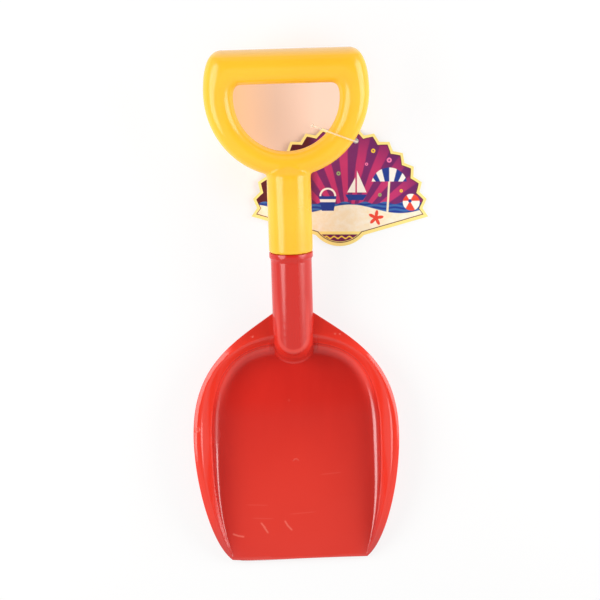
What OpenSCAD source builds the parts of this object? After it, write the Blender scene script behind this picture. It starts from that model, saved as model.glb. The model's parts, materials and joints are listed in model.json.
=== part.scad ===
// Sand shovel: dished blade with a moulded socket, a hollow D-grip pressed into it, and a card tag on a loop.
// It lies on the blade's flat floor with the hollow up, +Y towards the grip. The origin is under the floor,
// on the centre plane, level with the widest place of the blade.

/* [Blade outline] */
// Width over the rim at its widest place
blade_w = 152; // [135:1:175]
// Width between the two tip corners
tip_w = 101; // [85:1:115]
// Length from the tip corners to the widest place
tip_to_side = 93; // [80:1:110]
// Length from the widest place to the point where the two shoulders would meet inside the tube
side_to_apex = 101.5; // [94:0.5:112]
// How far the tip edge bulges past its corners
tip_bulge = 0.6; // [0.2:0.2:3]
// Width of the bevel along the tip edge
tip_bevel = 0.9; // [0.3:0.3:2.4]

/* [Blade section] */
// Thickness of the floor
floor_t = 3.4; // [3:0.1:4]
// Thickness of the wall, the flange and the shoulders
wall_t = 2.9; // [2.4:0.1:3.4]
// Height of the rim over the ground
rim_h = 24; // [21:0.5:28]
// Height of the crease between wall and flange
crease_h = 16; // [13:0.5:18]
// Drop of the rolled outer edge below the rim
rim_drop = 1.8; // [1:0.1:2.4]
// Width of the rolled band at the side
rim_band = 4.7; // [4:0.1:6]
// Run of the sloping flange at the side
flange_run = 8.5; // [7:0.1:10]
// Run of the steep wall
wall_run = 1.3; // [0.8:0.1:3]
// Depth of the flat shoulder on the centre line
shoulder_run = 27.7; // [24:0.1:30]
// Run of the flange at the back
back_flange_run = 4.9; // [4:0.1:6]
// Reach of the round on the rim, on each side of it
rim_round = 3.6; // [2.5:0.1:4]
// Reach of the round on the crease, on each side of it
crease_round = 1.6; // [1:0.1:2]
// Reach of the fillet between wall and floor, on each side of the corner
floor_fillet = 7.2; // [4:0.1:8]
// Reach of the round under the wall's foot, on each side of the corner
heel_round = 4; // [2:0.1:6]
// Reach of the hollow under the ridge, on each side of it
ridge_hollow = 1.4; // [0.8:0.1:2]
// Reach of the round outside the crease, on each side of it
crease_outside = 2.6; // [1.5:0.1:3]

/* [Shaft] */
// Angle at which the shaft rises from the floor
shaft_angle = 12; // [9:0.5:14]
// Outer radius of the blade's tube
tube_r = 15; // [14:0.1:15.5]
// Distance of the tube's mouth from the origin, along the ground
mouth_y = 135.6; // [128:0.1:150]
// Height of the tube's axis over the ground, at its mouth
mouth_z = 32.4; // [31.5:0.1:34]
// Thickness of the tube's wall
tube_wall = 2.1; // [1.8:0.1:2.6]
// Depth of the socket from its mouth
socket_depth = 71; // [60:1:72]
// Length of the collar at the mouth
collar_l = 3.7; // [2.5:0.1:6]
// Length of the step between the collar and the tube
collar_step = 2.6; // [1.5:0.1:4]

/* [Nose] */
// Distance of the centre of the nose's round end from the origin
nose_y = 70.3; // [69:0.1:72]
// Radius of the nose's round end, where it meets the floor
nose_base_r = 17; // [16:0.1:18]
// Radius of the nose's round end at its top
nose_top_r = 12.6; // [12.2:0.1:13.5]

/* [Grip] */
// Radius of the grip's stem
stem_r = 16; // [15.6:0.1:16.6]
// Thickness of the hollow grip's wall
grip_wall = 1.2; // [1:0.1:1.8]
// Length of the spigot in the socket
spigot_l = 36; // [30:1:55]
// Radial clearance of the spigot in the socket
spigot_clearance = 0.05; // [0.03:0.01:0.1]
// Distance from the mouth to the centre of the D's round part
d_centre = 114; // [108:1:122]
// Radius of the D's centre line
d_r = 49.3; // [46:0.1:53]
// Radius of the D's limbs
limb_r = 10.2; // [9.5:0.1:11]
// Distance from the D's centre to the centre of its bar
bar_rise = 20.6; // [18:0.1:25]
// Radius of the bar
bar_r = 12.5; // [11.8:0.1:13.5]
// Lean of the limbs towards each other
limb_lean = 6.4; // [5:0.1:8]

/* [Tag and loop] */
// Radius of the card over its teeth
tag_r = 66.1; // [60:0.1:70]
// Depth of the card's teeth
tooth_depth = 4; // [2:0.1:5]
// Number of steps between the teeth round the fan
tag_teeth = 16; // [12:1:20]
// Thickness of the card
tag_t = 0.5; // [0.4:0.05:0.8]
// Half width of the card's lower lobe
lobe_half_w = 18; // [14:0.5:22]
// Drop of the lobe's ends below the fan's centre
lobe_top = 15.1; // [12:0.1:18]
// Drop of the lobe's lowest point below the fan's centre
lobe_drop = 23.4; // [21:0.1:26]
// Radius of the punched hole
hole_r = 2; // [1.8:0.1:2.4]
// Distance of the hole from the tips of the teeth
hole_inset = 9.4; // [8:0.1:11]
// Direction of the hole from the fan's centre, to the right of straight up
hole_turn = 12.2; // [8:0.1:16]
// Diameter of the loop's strand
strand_d = 1.2; // [1:0.1:1.4]
// Width of the loop between the centre lines of its strands
loop_w = 34; // [31:0.5:36]
// Direction round the D, below its horizontal diameter, at which the loop hangs
loop_turn = 38.5; // [34:0.5:42]
// Gap between the loop and the limb, and between the card and the strand under it
rest_gap = 0.3; // [0.2:0.05:0.4]

/* [Hidden] */

// Overrun of cuts past the faces they open
over = 0.5;
half_w = blade_w / 2;
round_fn = 96;
wire_fn = 32;

// Stations on each half of one side of the blade, and points on each round of its section
stations = 12;
round_steps = 3;

// The largest share of a side that a round takes up, and the fillet's leg on the floor as a share of its reach, at the
// side and, as a share of that, at the tip corner
round_share = 0.45;
leg_share = 2.3;
leg_tip_share = 0.3;

// Step, in stations' measure, over which a line's direction is taken
nudge = 0.01;

// Insets of the ridge, the crease and the floor edge from the outline, at the side and at the back
ridge_side = rim_band;
crease_side = ridge_side + flange_run;
floor_side = crease_side + wall_run;
ridge_back = shoulder_run;
crease_back = ridge_back + back_flange_run;
floor_back = crease_back + wall_run;

// Each line's inset on the tip edge, as a share of the floor's edge inset at the side
ridge_tip_share = 0.04;
crease_tip_share = 0.08;
floor_tip_share = 0.14;

// Each line's handles: from the corner and before the side as shares of the front length, after the side as a
// share of the back length, and at the back as a share of the half width, then the directions at its two ends
outer_shares = [0.217, 0.376, 0.604, 0.60];
ridge_shares = [0.30, 0.439, 0.777, 0.12];
crease_shares = [0.41, 0.32, 0.559, 0.496];
outer_angles = [46.9, 37.3];
ridge_angles = [24, 0];
crease_angles = [19.9, 0];

function bezier(p, u) =
  pow(1 - u, 3) * p[0] + 3 * pow(1 - u, 2) * u * p[1] + 3 * (1 - u) * u * u * p[2] + pow(u, 3) * p[3];

// One of the blade's lines on the right-hand side, at u from 0 at the tip corner, 1 at the side, 2 at the back
function line_at(u, tip_share, side_inset, back_inset, shares, angles) =
  let (
    corner = [tip_w / 2 - tip_share * floor_side, -tip_to_side],
    side = [half_w - side_inset, 0],
    back = [0, side_to_apex - back_inset],
    out = [sin(angles[0]), cos(angles[0])],
    in = [cos(angles[1]), -sin(angles[1])]
  )
  u < 1
    ? bezier([corner, corner + shares[0] * tip_to_side * out, side - [0, shares[1] * tip_to_side], side], u)
    : bezier([side, side + [0, shares[2] * side_to_apex], back + shares[3] * half_w * in, back], u - 1);

function outer_at(u) = line_at(u, 0, 0, 0, outer_shares, outer_angles);
function ridge_at(u) = line_at(u, ridge_tip_share, ridge_side, ridge_back, ridge_shares, ridge_angles);
function crease_at(u) = line_at(u, crease_tip_share, crease_side, crease_back, crease_shares, crease_angles);
function floor_at(u) = line_at(u, floor_tip_share, floor_side, floor_back, crease_shares, crease_angles);

// The wall's height grows from nothing at the tip corners to all of it at the side
function growth(u) = u < 1 ? sin(90 * u) : 1;
function lift(p, z) = [p[0], p[1], z];

// The point that is a given reach from a corner towards an end, but never past the middle
function towards(from, to, reach) = from + (to - from) * min(round_share, reach / norm(to - from));
function round_at(a, b, c, v) = pow(1 - v, 2) * a + 2 * (1 - v) * v * b + pow(v, 2) * c;
function rounded(before, corner, after, reach) =
  let (a = towards(corner, before, reach), c = towards(corner, after, reach))
  [for (i = [0 : round_steps]) round_at(a, corner, c, i / round_steps)];

// The four corners of the upper skin's section at a station: outer edge, ridge, crease and floor edge
function corner_point(i, u) =
  i == 0 ? lift(outer_at(u), floor_t + (rim_h - rim_drop - floor_t) * growth(u)) :
  i == 1 ? lift(ridge_at(u), floor_t + (rim_h - floor_t) * growth(u)) :
  i == 2 ? lift(crease_at(u), floor_t + (crease_h - floor_t) * growth(u)) :
  lift(floor_at(u), floor_t);
function leg(u) =
  let (inwards = lift(floor_at(u) - crease_at(u), 0))
  leg_share * floor_fillet * inwards / norm(inwards) * (leg_tip_share + (1 - leg_tip_share) * growth(u));

// The upper skin's section at a station, from the outer edge over the ridge and the crease to the floor
function section(u) =
  let (c = [for (i = [0 : 3]) corner_point(i, u)])
  concat(
    [c[0]],
    rounded(c[0], c[1], c[2], rim_round),
    rounded(c[1], c[2], c[3], crease_round),
    rounded(c[2], c[3], c[3] + leg(u), floor_fillet)
  );

// The upward normal of the strip between a corner's line and the next one's
function unit(v) = v / norm(v);
function strip_normal(i, u) =
  let (
    along = corner_point(i + 1, min(u + nudge, 2)) - corner_point(i + 1, max(u - nudge, 0)),
    n = cross(along, corner_point(i, u) - corner_point(i + 1, u))
  )
  unit(n[2] < 0 ? -n : n);

// The underside's section: the corners moved in by the thickness, and the foot where the wall's outer face meets
// the ground
function under_section(u) =
  let (
    t = floor_t + (wall_t - floor_t) * growth(u),
    n = [for (i = [0 : 2]) strip_normal(i, u)],
    a = corner_point(0, u) - t * n[0],
    b = corner_point(1, u) - t * (n[0] + n[1]) / (1 + n[0] * n[1]),
    c = corner_point(2, u) - t * (n[1] + n[2]) / (1 + n[1] * n[2]),
    wall = corner_point(2, u) - corner_point(3, u),
    run = norm([wall[0], wall[1]]),
    out = wall[2] > 0 ? (t * norm(wall) - floor_t * run) / wall[2] : 0,
    heel = lift(floor_at(u) + out * [wall[0], wall[1]] / run, 0)
  )
  concat(
    [a],
    rounded(a, b, c, ridge_hollow),
    rounded(b, c, heel, crease_outside),
    rounded(c, heel, heel + leg(u), heel_round)
  );

function mirrored(points) = [for (p = points) [-p[0], p[1], p[2]]];

upper = [
  for (i = [0 : 2 * stations]) section(i / stations),
  for (i = [1 : 2 * stations]) mirrored(section(2 - i / stations))
];
lower = [
  for (i = [0 : 2 * stations]) under_section(i / stations),
  for (i = [1 : 2 * stations]) mirrored(under_section(2 - i / stations))
];
last_station = len(upper) - 1;
columns = len(upper[0]);

// The tip's edge between the two ends of the floor, on top and underneath
tip_steps = 10;
function tip_row(bulge, z) =
  let (end = upper[0][columns - 1])
  [for (i = [1 : tip_steps - 1]) [end[0] * (1 - 2 * i / tip_steps), end[1] - bulge * sin(180 * i / tip_steps), z]];
function grid_index(j, k) = j * columns + k;
function quad(a, b, c, d) = [[a, c, b], [a, d, c]];

module blade_shell() {
  skin = (last_station + 1) * columns;
  tip_top = 2 * skin;
  tip_under = tip_top + tip_steps - 1;
  inner = columns - 1;
  half = last_station / 2;
  top_tip = concat([grid_index(0, inner)], [for (i = [0 : tip_steps - 2]) tip_top + i],
    [grid_index(last_station, inner)]);
  under_tip = concat([skin + grid_index(0, inner)], [for (i = [0 : tip_steps - 2]) tip_under + i],
    [skin + grid_index(last_station, inner)]);
  walls = [
    for (j = [0 : last_station - 1], k = [0 : columns - 2])
      let (a = grid_index(j, k), b = grid_index(j + 1, k), c = grid_index(j + 1, k + 1), d = grid_index(j, k + 1))
      each concat(quad(a, b, c, d), quad(skin + d, skin + c, skin + b, skin + a))
  ];
  rim = [
    for (j = [0 : last_station - 1])
      let (a = grid_index(j, 0), b = grid_index(j + 1, 0))
      each quad(skin + a, skin + b, b, a)
  ];
  ground = [
    for (j = [0 : half - 1])
      let (
        a = grid_index(j, inner),
        b = grid_index(j + 1, inner),
        c = grid_index(last_station - j - 1, inner),
        d = grid_index(last_station - j, inner)
      )
      each j == half - 1 ? [[a, d, b], [skin + d, skin + a, skin + b]]
        : concat(quad(a, b, c, d), quad(skin + d, skin + c, skin + b, skin + a))
  ];
  corners = [
    for (k = [0 : columns - 2])
      let (
        a = grid_index(0, k),
        b = grid_index(0, k + 1),
        c = grid_index(last_station, k),
        d = grid_index(last_station, k + 1)
      )
      each concat(quad(a, b, skin + b, skin + a), quad(skin + c, skin + d, d, c))
  ];
  tip = [for (i = [0 : tip_steps - 1]) each quad(top_tip[i], top_tip[i + 1], under_tip[i + 1], under_tip[i])];
  polyhedron(
    points = concat(
      [for (row = upper) each row],
      [for (row = lower) each row],
      tip_row(tip_bulge, floor_t),
      tip_row(tip_bulge + tip_bevel, 0)
    ),
    faces = concat(walls, rim, ground, corners, tip, [top_tip], [[for (i = [tip_steps : -1 : 0]) under_tip[i]]])
  );
}

// Places its children on the shaft's axis, with the socket's mouth at zero and the grip towards +Z
module on_shaft() {
  translate([0, mouth_y, mouth_z])
    rotate([shaft_angle - 90, 0, 0])
      children();
}

function axis_z(y) = mouth_z + (y - mouth_y) * tan(shaft_angle);

// Where the web under the tube ends: just inside the back wall and under the shoulders
module behind_the_wall() {
  front = nose_y - 2 * nose_base_r;
  heel = side_to_apex - floor_back + wall_t / 2;
  crease = side_to_apex - crease_back + wall_t / 2;
  ridge = side_to_apex - ridge_back;
  rotate([90, 0, 90])
    linear_extrude(4 * tube_r, center = true)
      polygon([
        [front, floor_t / 2],
        [heel, floor_t / 2],
        [crease, crease_h],
        [ridge, rim_h - wall_t / 2],
        [nose_y + nose_base_r, rim_h - wall_t / 2],
        [nose_y + nose_base_r, 2 * rim_h],
        [front, 2 * rim_h]
      ]);
}

// The tube, and in the dish the web under it, ending in an upright round nose with draft
module socket_tube() {
  reach = mouth_y - nose_y + 2 * nose_base_r;
  intersection() {
    union() {
      on_shaft() translate([0, 0, -reach]) cylinder(r = tube_r, h = reach, $fn = round_fn);
      intersection() {
        on_shaft() translate([-tube_r, 0, -reach]) cube([2 * tube_r, 2 * tube_r, reach]);
        behind_the_wall();
      }
    }
    union() {
      translate([0, nose_y, floor_t / 2])
        cylinder(r1 = nose_base_r, r2 = nose_top_r, h = axis_z(nose_y) + tube_r - floor_t / 2, $fn = round_fn);
      translate([-2 * tube_r, nose_y, floor_t / 2]) cube([4 * tube_r, 2 * mouth_y, 4 * mouth_z]);
    }
  }
}

module collar() {
  translate([0, 0, -collar_l]) cylinder(r = stem_r, h = collar_l, $fn = round_fn);
  translate([0, 0, -collar_l - collar_step]) cylinder(r1 = tube_r, r2 = stem_r, h = collar_step, $fn = round_fn);
}

bore_r = tube_r - tube_wall;

module scoop() {
  color([0.85, 0.17, 0.13])
    difference() {
      union() {
        blade_shell();
        socket_tube();
        on_shaft() collar();
      }
      on_shaft() translate([0, 0, -socket_depth]) cylinder(r = bore_r, h = socket_depth + over, $fn = round_fn);
    }
}

// Where the limbs leave the D's arc, and the corners where they meet the bar
arc_end = [d_r * cos(limb_lean), d_centre + d_r * sin(limb_lean)];
corner = arc_end + (d_centre + bar_rise - arc_end[1]) * [-tan(limb_lean), 1];
limb_l = norm(corner - arc_end);
stem_l = d_centre - d_r - limb_r;
stem_cone_l = 13.8;
stem_cone_end = 1.2;
spigot_lead = 2;
blend_in = 0.2;
limb_step = 0.1;
arc_lap = 2;

// The D as a solid whose radii are drawn in all round, the skin or, drawn in by the wall, the hollow
module d_ring(drawn_in) {
  d_arc(drawn_in);
  d_limbs(drawn_in);
  d_bar(drawn_in);
}

module d_arc(drawn_in) {
  translate([0, 0, d_centre])
    rotate([-90, 0, 0])
      rotate([0, 0, -limb_lean - arc_lap])
        rotate_extrude(angle = 180 + 2 * limb_lean + 2 * arc_lap, $fn = round_fn)
          translate([d_r, 0]) circle(r = limb_r - drawn_in, $fn = round_fn);
}

module d_limbs(drawn_in) {
  for (side = [-1, 1])
    translate([side * arc_end[0], 0, arc_end[1]])
      rotate([0, -side * limb_lean, 0])
        cylinder(r1 = limb_r + limb_step - drawn_in, r2 = bar_r - blend_in - drawn_in, h = limb_l, $fn = round_fn);
}

module d_bar(drawn_in) {
  translate([0, 0, corner[1]])
    rotate([0, 90, 0])
      rotate_extrude($fn = round_fn)
        bar_half(bar_r - drawn_in);
}

// Half the outline of the bar and its round ends, turned about the bar's axis
module bar_half(r) {
  translate([0, -corner[0]]) square([r, 2 * corner[0]]);
  for (side = [-1, 1])
    translate([0, side * corner[0]])
      intersection() {
        circle(r = r, $fn = round_fn);
        translate([0, side < 0 ? -r : 0]) square(r);
      }
}

module stem(drawn_in, start) {
  translate([0, 0, start]) cylinder(r = stem_r - drawn_in, h = stem_l - start, $fn = round_fn);
  translate([0, 0, stem_l])
    cylinder(r1 = stem_r - drawn_in, r2 = limb_r - stem_cone_end - drawn_in, h = stem_cone_l, $fn = round_fn);
}

module grip_handle() {
  spigot_r = bore_r - spigot_clearance;
  color([1, 0.8, 0.2])
    on_shaft()
      difference() {
        union() {
          d_ring(0);
          stem(0, 0);
          translate([0, 0, -spigot_l + spigot_lead])
            cylinder(r = spigot_r, h = spigot_l, $fn = round_fn);
          translate([0, 0, -spigot_l])
            cylinder(r1 = spigot_r - grip_wall / 2, r2 = spigot_r, h = spigot_lead, $fn = round_fn);
        }
        d_ring(grip_wall);
        stem(grip_wall, grip_wall);
        translate([0, 0, -spigot_l - over])
          cylinder(r = spigot_r - grip_wall, h = spigot_l + 2 * grip_wall + over, $fn = round_fn);
      }
}

// The limb's centre where the loop hangs, on the shaft's axis and then over the ground
limb_along = d_centre - d_r * sin(loop_turn);
limb_x = d_r * cos(loop_turn);
limb_y = mouth_y + limb_along * cos(shaft_angle);
limb_z = mouth_z + limb_along * sin(shaft_angle);

// The loop's turn over the ground, its lean, and how far its middle lies from the limb's centre
loop_yaw = -21.7;
loop_lean = 6.3;
loop_shift_share = 0.138;
loop_clear_share = 1.02;
strand_r = strand_d / 2;
loop_left = -loop_w / 2 - loop_shift_share * loop_w;
loop_right = loop_left + loop_w;
loop_top = loop_clear_share * limb_r + rest_gap + strand_r;
loop_bottom = -(limb_z - strand_r) / cos(loop_lean);
top_bend_r = 11;
foot_bend_r = 4;
lock_r = 1.5;
lock_l = 6;
lock_bore_r = 0.9;
lock_z = -3;
barb_l = 2;
barb_clearance = 0.06;

module in_loop_plane() {
  translate([limb_x, limb_y, limb_z])
    rotate([0, 0, loop_yaw])
      rotate([loop_lean, 0, 0])
        children();
}

module strand(from, to) {
  along = to - from;
  translate([from[0], 0, from[1]])
    rotate([0, atan2(along[0], along[1]), 0])
      cylinder(r = strand_r, h = norm(along), $fn = wire_fn);
}

// A quarter bend of the strand in the loop's plane, from the direction given round its centre
module bend(centre, bend_r, from) {
  translate([centre[0], 0, centre[1]])
    rotate([90, 0, 0])
      rotate([0, 0, from])
        rotate_extrude(angle = 90, $fn = round_fn)
          translate([bend_r, 0]) circle(r = strand_r, $fn = wire_fn);
}

module lock() {
  translate([loop_left, 0, lock_z])
    difference() {
      cylinder(r = lock_r, h = lock_l, $fn = wire_fn);
      translate([0, 0, -over]) cylinder(r = lock_bore_r, h = lock_l - strand_d + over, $fn = wire_fn);
    }
}

module barb() {
  translate([loop_left, 0, lock_z + lock_l / 2 - barb_l / 2])
    cylinder(r1 = lock_bore_r - barb_clearance, r2 = strand_r / 2, h = barb_l, $fn = wire_fn);
}

module tag_loop() {
  color([0.95, 0.93, 0.86, 0.6])
    in_loop_plane() {
      strand([loop_left + top_bend_r, loop_top], [loop_right - top_bend_r, loop_top]);
      bend([loop_right - top_bend_r, loop_top - top_bend_r], top_bend_r, 0);
      strand([loop_right, loop_top - top_bend_r], [loop_right, loop_bottom + foot_bend_r]);
      bend([loop_right - foot_bend_r, loop_bottom + foot_bend_r], foot_bend_r, -90);
      strand([loop_right - foot_bend_r, loop_bottom], [loop_left + foot_bend_r, loop_bottom]);
      bend([loop_left + foot_bend_r, loop_bottom + foot_bend_r], foot_bend_r, 180);
      strand([loop_left, loop_bottom + foot_bend_r], [loop_left, lock_z + lock_l / 2]);
      barb();
      lock();
      strand([loop_left, lock_z + lock_l - strand_r], [loop_left, loop_top - top_bend_r]);
      bend([loop_left + top_bend_r, loop_top - top_bend_r], top_bend_r, 90);
    }
}

// The card lies on the strand, with the strand's foot bend coming up through its hole
tag_z = strand_d + rest_gap;
strand_rise = tag_z + tag_t / 2 - strand_r;
hole_along = loop_right - foot_bend_r + sqrt(pow(foot_bend_r, 2) - pow(foot_bend_r - strand_rise, 2));
foot_depth = (limb_z - strand_r - strand_rise) * tan(loop_lean);
hole_x = limb_x + hole_along * cos(loop_yaw) - foot_depth * sin(loop_yaw);
hole_y = limb_y + hole_along * sin(loop_yaw) + foot_depth * cos(loop_yaw);
tag_turn = -1.7;
fan_end = -1;
hole_r_out = tag_r - hole_inset;
fan_step = (180 - 2 * fan_end) / tag_teeth;
lobe_depth = lobe_drop - lobe_top;
lobe_r = (pow(lobe_half_w, 2) + pow(lobe_depth, 2)) / (2 * lobe_depth);
lobe_half_angle = asin(lobe_half_w / lobe_r);
lobe_steps = 16;

function polar(r, a) = [r * cos(a), r * sin(a)];
fan = [
  for (i = [0 : tag_teeth])
    each i == tag_teeth
      ? [polar(tag_r, 180 - fan_end)]
      : [polar(tag_r, fan_end + i * fan_step), polar(tag_r - tooth_depth, fan_end + (i + 0.5) * fan_step)]
];
lobe = [
  for (i = [0 : lobe_steps])
    let (a = -90 - lobe_half_angle + 2 * lobe_half_angle * i / lobe_steps)
    polar(lobe_r, a) + [0, lobe_r - lobe_drop]
];

module hang_tag() {
  color([0.55, 0.15, 0.45])
    translate([hole_x, hole_y, tag_z])
      rotate([0, 0, tag_turn])
        translate(-[hole_r_out * sin(hole_turn), hole_r_out * cos(hole_turn), 0])
          difference() {
            linear_extrude(tag_t) polygon(concat(fan, lobe));
            translate([hole_r_out * sin(hole_turn), hole_r_out * cos(hole_turn), -over])
              cylinder(r = hole_r, h = tag_t + 2 * over, $fn = wire_fn);
          }
}

scoop();
grip_handle();
tag_loop();
hang_tag();
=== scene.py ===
"""A toy sand shovel: a red moulded blade with its socket, a yellow D-grip, and a card tag on a clear loop."""

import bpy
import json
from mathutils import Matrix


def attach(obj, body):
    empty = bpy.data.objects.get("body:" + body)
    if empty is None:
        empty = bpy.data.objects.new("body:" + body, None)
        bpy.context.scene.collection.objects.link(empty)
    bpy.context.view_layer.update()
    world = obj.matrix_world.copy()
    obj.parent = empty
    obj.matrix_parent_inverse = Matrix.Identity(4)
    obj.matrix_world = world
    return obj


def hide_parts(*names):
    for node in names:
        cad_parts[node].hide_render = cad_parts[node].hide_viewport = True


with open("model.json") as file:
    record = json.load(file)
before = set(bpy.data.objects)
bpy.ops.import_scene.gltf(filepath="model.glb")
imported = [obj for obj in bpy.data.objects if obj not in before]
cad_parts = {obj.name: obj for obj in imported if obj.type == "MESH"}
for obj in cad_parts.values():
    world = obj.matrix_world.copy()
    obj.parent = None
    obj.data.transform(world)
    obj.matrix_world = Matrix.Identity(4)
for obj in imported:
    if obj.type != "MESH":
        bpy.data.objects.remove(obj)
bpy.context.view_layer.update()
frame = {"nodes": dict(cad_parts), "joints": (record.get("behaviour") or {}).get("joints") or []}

import json
import math
from functools import reduce

import bmesh
import bpy
from mathutils import Matrix, Vector

MM = 0.001
FULL_TURN = 2 * math.pi

# Sizes are in millimetres, the same as in the CAD source. The blade: its outline, its thicknesses, its
# heights, the widths of the strips that its side is made of, and the fillet round its floor
BLADE_W, TIP_W, TIP_TO_SIDE, SIDE_TO_APEX = 152, 101, 93, 101.5
FLOOR_T, WALL_T = 3.4, 2.9
RIM_H, CREASE_H, RIM_DROP = 24, 16, 1.8
RIM_BAND, FLANGE_RUN, WALL_RUN = 4.7, 8.5, 1.3
SHOULDER_RUN, BACK_FLANGE_RUN = 27.7, 4.9
FILLET_TIP, FILLET_SIDE, FILLET_BACK, FLOOR_LEG = 17, 12, 8.5, 28

# The worn tip: how far its edge stands out, how much further its foot does, how its top is rounded, and
# how far behind it the floor starts. Its edges that are long are cut up, so that they can bow
TIP_BULGE, TIP_BEVEL, TIP_ROUND, FLOOR_CUT = 0.6, 0.9, 0.45, 1.5
LONG_EDGE, LONG_EDGE_CUTS = 4, 9

# What counts as touching, and how many corners only the floor's two faces have
TOUCH, MANY_CORNERS = 1e-3, 60

# The shaft: the socket's mouth, the tube with its collar, and the nose that it ends in
SHAFT_ANGLE = math.radians(12)
MOUTH_Y, MOUTH_Z = 135.6, 32.4
TUBE_R, TUBE_TOP, BORE_R = 15, 5.4, 12.9
COLLAR_R, COLLAR_L, COLLAR_STEP, COLLAR_DEPTH = 16, 3.7, 2.6, 5
NOSE_Y, NOSE_R, NOSE_BACK, NOSE_BACK_HALF_W = 70.3, 17, 40, 17.8

# The D-grip and the card
D_CENTRE, BAR_RISE, LIMB_R, BAR_R = 114, 20.6, 10.2, 12.2
TAG_R, TOOTH_DEPTH, TAG_TEETH = 66.1, 4, 16


def ramp(value, low, high):
    """0 up to the low end, 1 from the high end, and straight between them."""
    return min(1, max(0, (value - low) / (high - low)))


def eased(t):
    return t * t * (3 - 2 * t)


def bezier(p, u):
    return (1 - u) ** 3 * p[0] + 3 * (1 - u) ** 2 * u * p[1] + 3 * (1 - u) * u * u * p[2] + u ** 3 * p[3]


def round_angles(count):
    """The angles of a full circle in even steps, with the first one again at the end."""
    return [FULL_TURN * k / count for k in range(count + 1)]


def mirrored(rows):
    """Rows of points on the other side of the shovel's middle, in the opposite order."""
    return [[Vector((-p.x, p.y, p.z)) for p in row] for row in reversed(rows)]


def on_shaft(x, along, height):
    """A point given along the shaft's axis from the socket's mouth, and its height over that axis."""
    c, s = math.cos(SHAFT_ANGLE), math.sin(SHAFT_ANGLE)
    return Vector((x, MOUTH_Y + along * c - height * s, MOUTH_Z + along * s + height * c))


def shaft_height(y):
    return MOUTH_Z + (y - MOUTH_Y) * math.tan(SHAFT_ANGLE)


SHAFT = Matrix.Translation((0, MOUTH_Y * MM, MOUTH_Z * MM))
SHAFT = SHAFT @ Matrix.Rotation(SHAFT_ANGLE - math.pi / 2, 4, "X")


# Shader maths and materials


class Value:
    """A shader socket that takes part in Python's own sums."""

    def __init__(self, tree, socket):
        self.tree, self.socket = tree, socket

    def _math(self, operation, a, b=None):
        return self.tree.node("ShaderNodeMath", {"operation": operation}, [a, b])

    def __add__(self, other):
        return self._math("ADD", self, other)

    def __radd__(self, other):
        return self._math("ADD", other, self)

    def __sub__(self, other):
        return self._math("SUBTRACT", self, other)

    def __rsub__(self, other):
        return self._math("SUBTRACT", other, self)

    def __mul__(self, other):
        return self._math("MULTIPLY", self, other)

    def __rmul__(self, other):
        return self._math("MULTIPLY", other, self)

    def __truediv__(self, other):
        return self._math("DIVIDE", self, other)

    def __mod__(self, other):
        return self._math("FLOORED_MODULO", self, other)

    def __pow__(self, other):
        return self._math("POWER", self, other)

    def __abs__(self):
        return self._math("ABSOLUTE", self)

    def least(self, other):
        return self._math("MINIMUM", self, other)

    def most(self, other):
        return self._math("MAXIMUM", self, other)

    def sine(self):
        return self._math("SINE", self)

    def root(self):
        return self._math("SQRT", self)

    def turn_from(self, other):
        """The angle whose tangent is this over the other."""
        return self._math("ARCTAN2", self, other)


class Nodes:
    """A node tree with one method that adds any node, and short names for the nodes that are used most."""

    def __init__(self, tree):
        self.nodes, self.links = tree.nodes, tree.links

    def fill(self, socket, value):
        if isinstance(value, Value):
            self.links.new(value.socket, socket)
        elif value is not None:
            socket.default_value = value

    def node(self, kind, settings=None, inputs=(), output=0):
        """Adds a node with its settings, then fills its sockets by name or number, and gives one output."""
        made = self.nodes.new(kind)
        for key, value in (settings or {}).items():
            setattr(made, key, value)
        for key, value in inputs.items() if isinstance(inputs, dict) else enumerate(inputs):
            self.fill(made.inputs[key], value)
        return Value(self, made.outputs[output])

    def place(self):
        return self.node("ShaderNodeTexCoord", output="Object")

    def parts(self, vector):
        """The x, y and z of a vector."""
        split = self.node("ShaderNodeSeparateXYZ", None, [vector]).socket.node
        return [Value(self, split.outputs[i]) for i in range(3)]

    def ray(self, kind):
        """1 for light of that kind on its way, and 0 for any other."""
        return self.node("ShaderNodeLightPath", output=f"Is {kind} Ray")

    def remap(self, value, low, high, to_low=0, to_high=1, smooth=False):
        kind = {"interpolation_type": "SMOOTHSTEP" if smooth else "LINEAR"}
        return self.node("ShaderNodeMapRange", kind, {0: value, 1: low, 2: high, 3: to_low, 4: to_high})

    def blend(self, factor, a, b):
        """From one number to another."""
        return self.node("ShaderNodeMix", None, {0: factor, 2: a, 3: b})

    def mix(self, factor, a, b):
        """From one colour to another."""
        a, b = ((*c, 1) if isinstance(c, tuple) else c for c in (a, b))
        return self.node("ShaderNodeMix", {"data_type": "RGBA"}, {0: factor, 6: a, 7: b}, output=2)

    def paint(self, colour, *layers):
        """Lays each layer's shade over the colour through the layer's mask."""
        for mask, shade in layers:
            colour = self.mix(mask, colour, shade)
        return colour

    def noise(self, scale, detail=2, vector=None):
        where = vector or self.place()
        return self.node("ShaderNodeTexNoise", None, {"Vector": where, "Scale": scale, "Detail": detail})

    def mottle(self, scale, detail=2, low=0, high=1):
        """Soft spots between two values."""
        return self.remap(self.noise(scale, detail), 0.3, 0.7, low, high)

    def flow(self, scale):
        """Noise drawn out along one axis, as the plastic ran in its mould."""
        stretched = self.node("ShaderNodeMapping", None, {"Vector": self.place(), "Scale": scale})
        return self.noise(1, 3, stretched)

    def bump(self, height, strength, distance):
        sockets = {"Strength": strength, "Distance": distance, "Height": height}
        return self.node("ShaderNodeBump", None, sockets)


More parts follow.
